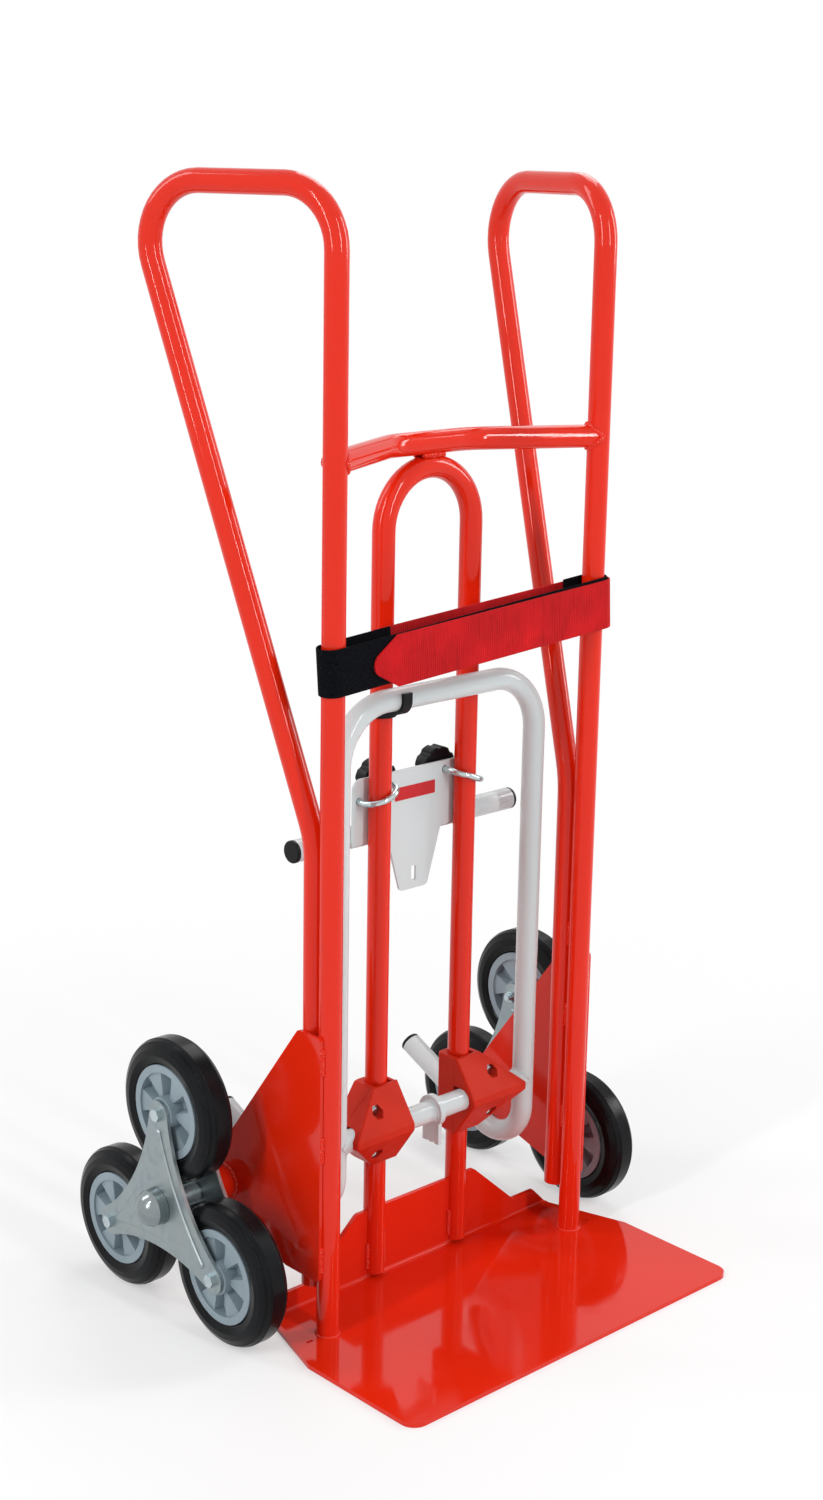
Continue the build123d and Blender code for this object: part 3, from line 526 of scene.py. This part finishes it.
def saddle(centre, along, up, radius, steps=48):
    """Line where a round bar meets a tube of the same radius, seen from the tube's axis."""
    along = Vector(along).normalized()
    up = Vector(up)
    side = up.cross(along)
    line = []
    for index in range(steps):
        turn = 2 * pi * index / steps
        across = radius * sin(turn)
        reach = sqrt(max(0.0, radius**2 - across**2))
        line.append(Vector(centre) + along * reach + side * across + up * (radius * cos(turn)))
    return line


def circle(centre, radius, first, second, steps=48):
    """A round line in the plane of two directions."""
    first, second = Vector(first), Vector(second)
    turns = [2 * pi * index / steps for index in range(steps)]
    return [Vector(centre) + radius * (cos(t) * first + sin(t) * second) for t in turns]


def run(start, end, steps=12):
    """A straight line of a weld."""
    start, end = Vector(start), Vector(end)
    return [start.lerp(end, index / steps) for index in range(steps + 1)]


# Strap


def loop_path(half_run, radius, start, stop, step):
    """Points and outward directions round both uprights, by length from the middle of the front.

    The line runs to the right along the front, round the right upright and back along the rear."""
    arc = pi * radius
    whole = 4 * half_run + 2 * arc
    count = max(8, round((stop - start) / step))
    path = []
    for index in range(count + 1):
        place = start + (stop - start) * index / count
        s = (place + half_run) % whole
        if s < 2 * half_run:
            path.append((Vector((s - half_run, -radius, 0)), Vector((0, -1, 0)), place))
        elif s < 2 * half_run + arc:
            turn = (s - 2 * half_run) / radius - pi / 2
            out = Vector((cos(turn), sin(turn), 0))
            path.append((Vector((half_run, 0, 0)) + radius * out, out, place))
        elif s < 4 * half_run + arc:
            back = s - 2 * half_run - arc
            path.append((Vector((half_run - back, radius, 0)), Vector((0, 1, 0)), place))
        else:
            turn = (s - 4 * half_run - arc) / radius + pi / 2
            out = Vector((cos(turn), sin(turn), 0))
            path.append((Vector((-half_run, 0, 0)) + radius * out, out, place))
    return path


def strap_section(half_width, half_thick, across=12):
    """Rounded flat section: outward and upward offsets, counter-clockwise."""
    edge = half_thick
    section = []
    for index in range(across + 1):
        section.append((half_thick, -half_width + edge + 2 * (half_width - edge) * index / across))
    for turn in (60, 30, 0, -30, -60):
        section.append((edge * sin(radians(turn)), half_width - edge + edge * cos(radians(turn))))
    for index in range(across + 1):
        section.append((-half_thick, half_width - edge - 2 * (half_width - edge) * index / across))
    for turn in (-60, -30, 0, 30, 60):
        section.append((edge * sin(radians(turn)), -half_width + edge - edge * cos(radians(turn))))
    return section


def tip_width(place):
    """Half the tail's width at a length: a rounded nose, then two straight sides."""
    reach = place - TAIL_TIP_X
    if reach < TAIL_TIP_R * (1 - sin(TAIL_TIP_ANGLE)):
        return max(TIP_LEAST_HALF, sqrt(TAIL_TIP_R**2 - (TAIL_TIP_R - reach) ** 2))
    apex = TAIL_TIP_R - TAIL_TIP_R / sin(TAIL_TIP_ANGLE)
    return min(TAIL_HALF, (reach - apex) * tan(TAIL_TIP_ANGLE))


def strap_mesh(name, path, half_width, thickness, placing, relief):
    """Sweeps the flat section along a path; half_width and relief depend on the length."""
    points, faces, spots = [], [], []
    for point, out, place in path:
        lift = relief(place)
        for offset, height in strap_section(half_width(place), thickness / 2):
            outside = offset + lift if offset > 0 else offset
            points.append(placing @ (point + out * outside + Vector((0, 0, height))))
            spots.append((place, height + offset))
    count = len(path)
    size = len(points) // count
    for ring in range(count - 1):
        here, there = ring * size, (ring + 1) * size
        for index in range(size):
            after = (index + 1) % size
            faces.append((here + index, there + index, there + after, here + after))
    faces.append(tuple(range(size)))
    faces.append(tuple(reversed(range((count - 1) * size, count * size))))
    mesh = bpy.data.meshes.new(name)
    mesh.from_pydata([tuple(point) for point in points], [], faces)
    layer = mesh.uv_layers.new(name="strap_uv")
    for face in mesh.polygons:
        face.use_smooth = True
        for loop in face.loop_indices:
            layer.data[loop].uv = spots[mesh.loops[loop].vertex_index]
    mesh.validate()
    piece = bpy.data.objects.new(name, mesh)
    bpy.context.scene.collection.objects.link(piece)
    return piece


# Operators


class TRUCK_OT_frame_paint(bpy.types.Operator):
    """Paint the welded frame in glossy red"""

    bl_idname = "truck.frame_paint"
    bl_label = "Paint the frame"

    def execute(self, context):
        finish = context.scene.truck_finish
        red = powder_coat("frame_red_paint", finish.frame_red, finish.paint_roughness)
        dress(red, "cross_bar", "guide_hoop", "toe_plate", "axle_bosses")
        dress(red, *sided("side_frame", "side_plate"))
        return {"FINISHED"}


class TRUCK_OT_fork_paint(bpy.types.Operator):
    """Paint the fork and the slider in white"""

    bl_idname = "truck.fork_paint"
    bl_label = "Paint the fork and slider"

    def execute(self, context):
        finish = context.scene.truck_finish
        white = powder_coat("fork_white_paint", finish.fork_white, finish.paint_roughness + 0.04)
        dress(white, "fork_hoop", "pivot_tube", "lock_collar", "slider_plate", "slider_tube")
        return {"FINISHED"}


class TRUCK_OT_mouldings(bpy.types.Operator):
    """Finish the clamps, knobs, caps, clip and label"""

    bl_idname = "truck.mouldings"
    bl_label = "Finish the mouldings"

    def execute(self, context):
        finish = context.scene.truck_finish
        dress(moulding("clamp_red_moulding", finish.clamp_red, 0.42, 0.0009, 0.1),
              *sided("clamp_front", "clamp_rear"))
        dress(moulding("black_moulding", finish.plastic_black, 0.36, 0.0007, 0.16),
              "tine_caps", "slider_tube_caps", "hook_clip", *sided("knob"))
        dress(moulding("plain_label", finish.label_red, 0.3, 0.002, 0.3), "slider_label")
        return {"FINISHED"}


class TRUCK_OT_wheels(bpy.types.Operator):
    """Finish the tyres and the wheel centres"""

    bl_idname = "truck.wheels"
    bl_label = "Finish the wheels"

    def execute(self, context):
        finish = context.scene.truck_finish
        places = ("top", "rear", "front")
        dress(rubber("tyre_rubber", finish.rubber_black), *sided(*[p + "_tyre" for p in places]))
        dress(moulding("hub_blue_grey", finish.hub_grey, 0.4, 0.0014, 0.35),
              *sided(*[p + "_wheel_hub" for p in places]))
        return {"FINISHED"}


class TRUCK_OT_steel(bpy.types.Operator):
    """Finish the stars, axles, bolts, nuts and hook bolts"""

    bl_idname = "truck.steel"
    bl_label = "Finish the bare steel"

    def execute(self, context):
        zinc = context.scene.truck_finish.zinc_tint
        plate = zinc_plate("zinc_plate", zinc, 0.38)
        bright = zinc_plate("bright_zinc", shade(zinc, 1.6), 0.18)
        polished = zinc_plate("polished_zinc", shade(zinc, 0.8), 0.16)
        # Star hub: a lighter, part-metallic copy of the zinc, painted light that stands in for the light
        # falling on the hub between the wheels
        painted_lit_zinc = zinc_plate("painted_light_zinc", shade(zinc, 1.5), 0.3, metallic=0.6)
        dress(plate, *sided("star_inner_plate", "star_outer_plate", "wheel_spacers"))
        dress(painted_lit_zinc, *sided("star_hub"))
        dress(polished, "axle_dome_nuts", "axle_washers")
        dress(bright, "clamp_bolts", "clamp_nuts")
        dress(bright, *sided("stub_axle", "wheel_bolts", "wheel_nuts", "hook_bolt"))
        return {"FINISHED"}


class TRUCK_OT_frame_welds(bpy.types.Operator):
    """Lay the weld beads of the red frame"""

    bl_idname = "truck.frame_welds"
    bl_label = "Weld the frame"

    def execute(self, context):
        detail = context.scene.truck_detail
        lines, feet = Lines(), Lines()
        plate_low, plate_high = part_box("right_side_plate")
        axle = node_middle("right_stub_axle")
        seam_x = sqrt(TUBE_R**2 - (RAIL_Y - UPSTAND_Y) ** 2)
        for sign in (-1, 1):
            x = sign * UPRIGHT_X
            towards = (-sign * (UPRIGHT_X - CROSS_BEND_X), RAIL_Y, 0)
            lines.add(saddle((x, 0, CROSS_BAR_Z), towards, (0, 0, 1), TUBE_R), closed=True)
            feet.add(circle((x, 0, TOE_TOP_Z), TUBE_R, (1, 0, 0), (0, 1, 0)), closed=True)
            lines.add(circle((sign * plate_high.x, axle.y, axle.z), BOSS_R, (0, 1, 0), (0, 0, 1)),
                      closed=True)
            edge, inner = sign * plate_low.x, sign * (UPRIGHT_X - LEG_WELD_IN)
            for low in (plate_low.z + PLATE_WELD_FOOT, (plate_low.z + plate_high.z) / 2,
                        plate_high.z - PLATE_WELD_HEAD):
                lines.add(run((edge, PLATE_WELD_Y, low), (edge, PLATE_WELD_Y, low + PLATE_WELD)))
                lines.add(run((inner, REAR_LEG_Y / 2, low + LEG_WELD_FROM),
                              (inner, REAR_LEG_Y / 2, low + LEG_WELD_TO)))
            for offset in (-seam_x, seam_x):
                rail = sign * RAIL_X + offset
                lines.add(run((rail, UPSTAND_Y, RAIL_WELD_FROM_Z), (rail, UPSTAND_Y, RAIL_WELD_TO_Z)))
        crown = CROSS_BAR_Z - TUBE_R
        for y in (RAIL_Y - CROWN_WELD_Y, RAIL_Y + CROWN_WELD_Y):
            lines.add(run((-CROWN_WELD_X, y, crown), (CROWN_WELD_X, y, crown)))
        red = bpy.data.materials["frame_red_paint"]
        grown("frame_welds", lines.points, lines.edges, weld_tree(), "frame", "red_paint",
              Pitch=detail.bead_pitch, Radius=detail.bead_radius, Material=red)
        grown("foot_welds", feet.points, feet.edges, weld_tree(), "frame", "red_paint",
              Pitch=detail.bead_pitch, Radius=FOOT_BEAD * detail.bead_radius, Material=red)
        return {"FINISHED"}


class TRUCK_OT_fork_welds(bpy.types.Operator):
    """Lay the weld beads of the fork and the slider"""

    bl_idname = "truck.fork_welds"
    bl_label = "Weld the fork and slider"

    def execute(self, context):
        detail = context.scene.truck_detail
        white = bpy.data.materials["fork_white_paint"]
        lines = Lines()
        for sign in (-1, 1):
            lines.add(saddle((sign * FORK_X, FORK_Y, PIVOT_Z), (-sign, 0, 0), (0, 0, 1), TUBE_R),
                      closed=True)
        low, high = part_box("lock_collar")
        for x in (low.x, high.x):
            lines.add(circle((x, FORK_Y, PIVOT_Z), TUBE_R, (0, 1, 0), (0, 0, 1)), closed=True)
        grown("fork_welds", lines.points, lines.edges, weld_tree(), "fork", "white_paint",
              Pitch=detail.bead_pitch, Radius=FORK_BEAD * detail.bead_radius, Material=white)
        lines = Lines()
        tube_low, tube_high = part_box("slider_tube")
        y = tube_low.y + SLIDER_WELD_IN
        middle = (tube_low.z + tube_high.z) / 2
        for sign in (-1, 1):
            for z in (middle - SLIDER_WELD_Z, middle + SLIDER_WELD_Z):
                lines.add(run((sign * SLIDER_WELD_FROM_X, y, z), (sign * SLIDER_WELD_TO_X, y, z)))
        grown("slider_welds", lines.points, lines.edges, weld_tree(), "slider", "white_paint",
              Pitch=detail.bead_pitch, Radius=SLIDER_BEAD * detail.bead_radius, Material=white)
        return {"FINISHED"}


class TRUCK_OT_strap(bpy.types.Operator):
    """Weave the strap: the black band and the red tail over it"""

    bl_idname = "truck.strap"
    bl_label = "Weave the strap"

    def execute(self, context):
        self.band(context.scene.truck_finish, context.scene.truck_detail)
        self.tail(context.scene.truck_finish, context.scene.truck_detail)
        return {"FINISHED"}

    def placing(self, height, tilt):
        """Where the middle of a loop sits on the uprights."""
        return Matrix.Translation((0, 0, height)) @ Matrix.Rotation(-tilt, 4, "Y")

    def band(self, finish, detail):
        """The black loop band, from its left end at the back round by the front to its right end."""
        thick = detail.strap_thickness
        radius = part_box("strap_band")[1].y - thick / 2
        front = BAND_RUN + pi * radius
        start = -front - BAND_RUN - BAND_BACK_LEFT_X
        stop = front + BAND_RUN - BAND_BACK_RIGHT_X
        path = loop_path(BAND_RUN, radius, start, stop, BAND_STEP)
        piece = strap_mesh("strap_loop", path, lambda place: BAND_HALF, thick,
                           self.placing(BAND_Z, BAND_TILT),
                           lambda place: BAND_WAVE_DEPTH * sin(2 * pi * place / BAND_WAVE))
        piece.data.materials.append(loop_pile("black_loop_pile", finish.strap_black))
        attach(piece, "frame")
        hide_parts("strap_band")

    def tail(self, finish, detail):
        """The red tail over the band, from its pointed tip round the right upright to the back."""
        thick, pitch = detail.strap_thickness, detail.rib_pitch
        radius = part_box("strap_tail")[1].y - thick / 2
        stop = 2 * TAIL_RUN + pi * radius - TAIL_BACK_X
        path = loop_path(TAIL_RUN, radius, TAIL_TIP_X, stop, pitch / TAIL_STEPS_A_RIB)
        piece = strap_mesh("strap_red_tail", path, tip_width, thick,
                           self.placing(TAIL_Z, TAIL_TILT),
                           lambda place: detail.rib_depth * (0.5 + 0.5 * sin(2 * pi * place / pitch)))
        piece.data.materials.append(webbing("red_webbing", finish.strap_red, pitch))
        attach(piece, "frame")
        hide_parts("strap_tail")


class TRUCK_OT_stage(bpy.types.Operator):
    """Set up the floor, the light and the camera"""

    bl_idname = "truck.stage"
    bl_label = "Set the stage"

    def execute(self, context):
        studio = context.scene.truck_studio
        self.floor(studio)
        self.room(context.scene, studio)
        lamps = (("left_key_lamp", (-2.9, -0.3, 2.0), studio.key, 0.2),
                 ("front_key_lamp", (-0.1, -2.9, 2.0), studio.key, 0.2),
                 ("fill_lamp", (2.7, -1.4, 1.9), studio.fill, 0.6),
                 ("rear_left_lamp", (-1.8, 2.2, 2.6), studio.rear, 0.8),
                 ("rear_right_lamp", (1.5, 1.1, 3.0), studio.rear, 1.2))
        for name, place, power, width in lamps:
            self.lamp(name, place, power, width)
        self.camera(context.scene)
        context.scene.view_settings.view_transform = "Standard"
        return {"FINISHED"}

    def floor(self, studio):
        """A pale floor that fades into the white room away from the truck."""
        mesh = bpy.data.meshes.new("studio_floor")
        corners = ((-1, -1), (1, -1), (1, 1), (-1, 1))
        points = [(x * FLOOR_HALF, y * FLOOR_HALF, FLOOR_Z) for x, y in corners]
        mesh.from_pydata(points, [], [(0, 1, 2, 3)])
        floor = bpy.data.objects.new("studio_floor", mesh)
        bpy.context.scene.collection.objects.link(floor)
        material = bpy.data.materials.new("floor_white")
        material.use_nodes = True
        tree = material.node_tree
        tree.nodes.clear()
        link = tree.links.new
        output = tree.nodes.new("ShaderNodeOutputMaterial")
        matt = tree.nodes.new("ShaderNodeBsdfDiffuse")
        matt.inputs["Color"].default_value = (*studio.floor_white, 1)
        glow = tree.nodes.new("ShaderNodeEmission")
        mix = tree.nodes.new("ShaderNodeMixShader")
        coordinates = tree.nodes.new("ShaderNodeTexCoord")
        length = tree.nodes.new("ShaderNodeVectorMath")
        length.operation = "LENGTH"
        fade = tree.nodes.new("ShaderNodeMapRange")
        fade.interpolation_type = "SMOOTHSTEP"
        fade.inputs["From Min"].default_value = FLOOR_NEAR
        fade.inputs["From Max"].default_value = FLOOR_FAR
        fade.inputs["To Min"].default_value = FLOOR_NEAR_GLOW
        fade.inputs["To Max"].default_value = 1.0
        factor = tree.nodes.new("ShaderNodeMath")
        factor.operation = "MULTIPLY"
        link(coordinates.outputs["Object"], length.inputs[0])
        link(length.outputs["Value"], fade.inputs["Value"])
        link(fade.outputs["Result"], factor.inputs[0])
        link(self.seen_rays(tree), factor.inputs[1])
        link(factor.outputs[0], mix.inputs["Fac"])
        link(matt.outputs[0], mix.inputs[1])
        link(glow.outputs[0], mix.inputs[2])
        link(mix.outputs[0], output.inputs["Surface"])
        mesh.materials.append(material)

    def seen_rays(self, tree):
        """One for rays from the camera, a reflection or a clear piece, and zero for light."""
        rays = tree.nodes.new("ShaderNodeLightPath")
        total = None
        for name in ("Is Camera Ray", "Is Glossy Ray", "Is Transmission Ray"):
            if total is None:
                total = rays.outputs[name]
                continue
            add = tree.nodes.new("ShaderNodeMath")
            add.operation = "MAXIMUM"
            tree.links.new(total, add.inputs[0])
            tree.links.new(rays.outputs[name], add.inputs[1])
            total = add.outputs[0]
        return total

    def room(self, scene, studio):
        """Even white room: full white where it is seen, dimmer as a light."""
        world = bpy.data.worlds.new("studio_room")
        scene.world = world
        world.use_nodes = True
        tree = world.node_tree
        tree.nodes.clear()
        output = tree.nodes.new("ShaderNodeOutputWorld")
        light = tree.nodes.new("ShaderNodeBackground")
        light.inputs["Color"].default_value = (1, 1, 1, 1)
        light.inputs["Strength"].default_value = studio.sky
        seen = tree.nodes.new("ShaderNodeBackground")
        seen.inputs["Color"].default_value = (1, 1, 1, 1)
        seen.inputs["Strength"].default_value = 1.0
        mix = tree.nodes.new("ShaderNodeMixShader")
        tree.links.new(self.seen_rays(tree), mix.inputs["Fac"])
        tree.links.new(light.outputs[0], mix.inputs[1])
        tree.links.new(seen.outputs[0], mix.inputs[2])
        tree.links.new(mix.outputs[0], output.inputs["Surface"])

    def lamp(self, name, place, power, width):
        """A tall soft lamp aimed at the truck."""
        light = bpy.data.lights.new(name, "AREA")
        light.energy = power
        light.shape = "RECTANGLE"
        light.size = width
        light.size_y = LAMP_HEIGHT
        lamp = bpy.data.objects.new(name, light)
        lamp.location = place
        aim = LAMP_AIM - Vector(place)
        lamp.rotation_euler = aim.to_track_quat("-Z", "Y").to_euler()
        bpy.context.scene.collection.objects.link(lamp)

    def camera(self, scene):
        """Camera where the photograph was taken from."""
        data = bpy.data.cameras.new("photo_camera")
        data.sensor_fit = "VERTICAL"
        data.sensor_height = 36.0
        data.lens = 54.28
        flat = cos(CAMERA_DOWN)
        ahead = Vector((sin(CAMERA_TURN) * flat, cos(CAMERA_TURN) * flat, -sin(CAMERA_DOWN)))
        level = Vector((cos(CAMERA_TURN), -sin(CAMERA_TURN), 0))
        upright = level.cross(ahead)
        right = level * cos(CAMERA_ROLL) + upright * sin(CAMERA_ROLL)
        up = upright * cos(CAMERA_ROLL) - level * sin(CAMERA_ROLL)
        camera = bpy.data.objects.new("photo_camera", data)
        pose = Matrix((right, up, -ahead)).transposed().to_4x4()
        pose.translation = CAMERA_PLACE
        camera.matrix_world = pose
        scene.collection.objects.link(camera)
        scene.camera = camera


class TRUCK_PT_looks(bpy.types.Panel):
    """Sidebar panel with the steps and the settings"""

    bl_idname = "TRUCK_PT_looks"
    bl_label = "Hand truck"
    bl_space_type = "VIEW_3D"
    bl_region_type = "UI"
    bl_category = "Hand truck"

    def draw(self, context):
        for step in STEPS:
            self.layout.operator(step.bl_idname)
        for group in (context.scene.truck_finish, context.scene.truck_detail,
                      context.scene.truck_studio):
            box = self.layout.box()
            for name in group.bl_rna.properties.keys():
                if name not in ("rna_type", "name"):
                    box.prop(group, name)


STEPS = (
    TRUCK_OT_frame_paint,
    TRUCK_OT_fork_paint,
    TRUCK_OT_mouldings,
    TRUCK_OT_wheels,
    TRUCK_OT_steel,
    TRUCK_OT_frame_welds,
    TRUCK_OT_fork_welds,
    TRUCK_OT_strap,
    TRUCK_OT_stage,
)
GROUPS = {"truck_finish": TruckFinish, "truck_detail": TruckDetail, "truck_studio": TruckStudio}


def register():
    """Adds the settings, the operators and the panel."""
    for name, group in GROUPS.items():
        bpy.utils.register_class(group)
        setattr(bpy.types.Scene, name, bpy.props.PointerProperty(type=group))
    for step in STEPS:
        bpy.utils.register_class(step)
    bpy.utils.register_class(TRUCK_PT_looks)


def unregister():
    """Takes them away again."""
    bpy.utils.unregister_class(TRUCK_PT_looks)
    for step in reversed(STEPS):
        bpy.utils.unregister_class(step)
    for name, group in GROUPS.items():
        delattr(bpy.types.Scene, name)
        bpy.utils.unregister_class(group)


def main():
    """Dresses the truck."""
    register()
    for step in STEPS:
        group, name = step.bl_idname.split(".")
        getattr(getattr(bpy.ops, group), name)()


if __name__ == "__main__":
    main()
